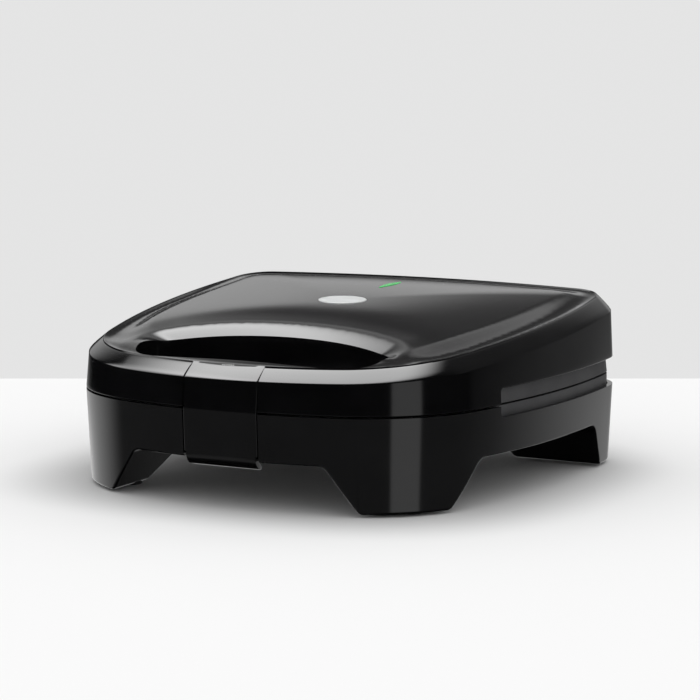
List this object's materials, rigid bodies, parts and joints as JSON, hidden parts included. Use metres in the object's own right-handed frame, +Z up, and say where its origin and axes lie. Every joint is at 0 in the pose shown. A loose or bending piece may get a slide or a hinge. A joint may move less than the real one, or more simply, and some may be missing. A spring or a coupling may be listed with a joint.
{
  "type": "panini press",
  "caption": "Countertop panini press with a domed hinged lid, finger pocket, front clip latch, ribbed grill plates and a four-legged base.",
  "frame": {"origin": "centre of the outline, on the surface the rubber feet stand on", "axes": "+Z up, +Y to the rear hinge, +X to the right seen from the front"},
  "size_m": [0.2496, 0.2421, 0.0944],
  "materials": {
    "black_gloss": "polished black moulding",
    "dark_plastic": "fine-textured dark grey heat-resistant moulding",
    "white_plastic": "plain off-white moulding",
    "satin_metal": "blank satin silver plate",
    "green_lens": "translucent green window, lightly lit",
    "rubber": "soft black rubber",
    "steel": "zinc-plated steel",
    "wire_sleeve": "glass-fibre sleeved leads",
    "grill_coating": "cast plate with dark non-stick coating",
    "element_steel": "heat-stained steel tube",
    "aluminium_sheet": "bare rolled sheet",
    "thermostat_case": "unglazed ceramic capsule",
    "lamp_glass": "small neon lamp"
  },
  "bodies": {
    "base": {"base_hinge_bracket_left": "dark_plastic", "base_hinge_bracket_right": "dark_plastic", "base_shell": "black_gloss", "base_wiring": "wire_sleeve", "bottom_cover": "dark_plastic", "bottom_cover_screws": "steel", "cord_gland": "rubber", "hinge_pin_left": "steel", "hinge_pin_right": "steel", "latch_keepers": "steel", "lower_frame_screws": "steel", "lower_grill_plate": "grill_coating", "lower_heat_reflector": "aluminium_sheet", "lower_heating_element": "element_steel", "lower_plate_frame": "dark_plastic", "lower_reflector_screws": "steel", "rubber_feet": "rubber", "terminal_block": "white_plastic", "thermostat": "thermostat_case"},
    "lid": {"lid_shell": "black_gloss", "badge_plate": "satin_metal", "indicator_lens": "green_lens", "indicator_lamp": "lamp_glass", "lamp_holder": "white_plastic", "upper_plate_frame": "dark_plastic", "upper_frame_screws": "steel", "upper_grill_plate": "grill_coating", "upper_heating_element": "element_steel", "upper_heat_reflector": "aluminium_sheet", "upper_reflector_screws": "steel", "thermal_fuse": "thermostat_case", "lid_hinge_arm_left": "dark_plastic", "lid_hinge_arm_right": "dark_plastic", "latch_pin": "steel", "latch_spring": "steel"},
    "latch": {"latch": "black_gloss"}
  },
  "joints": [
    {"name": "lid_hinge", "type": "hinge", "parent": "base", "child": "lid", "pos_m": [0, 0.11365, 0.0497], "axis": [-1, 0, 0], "range_deg": [0, 105]},
    {"name": "latch_pivot", "type": "hinge", "parent": "lid", "child": "latch", "pos_m": [0, -0.11055, 0.06923], "axis": [-1, 0, 0], "range_deg": [0, 35], "stiffness_Nm_per_rad": 0.02, "springref_deg": -17.19}
  ]
}
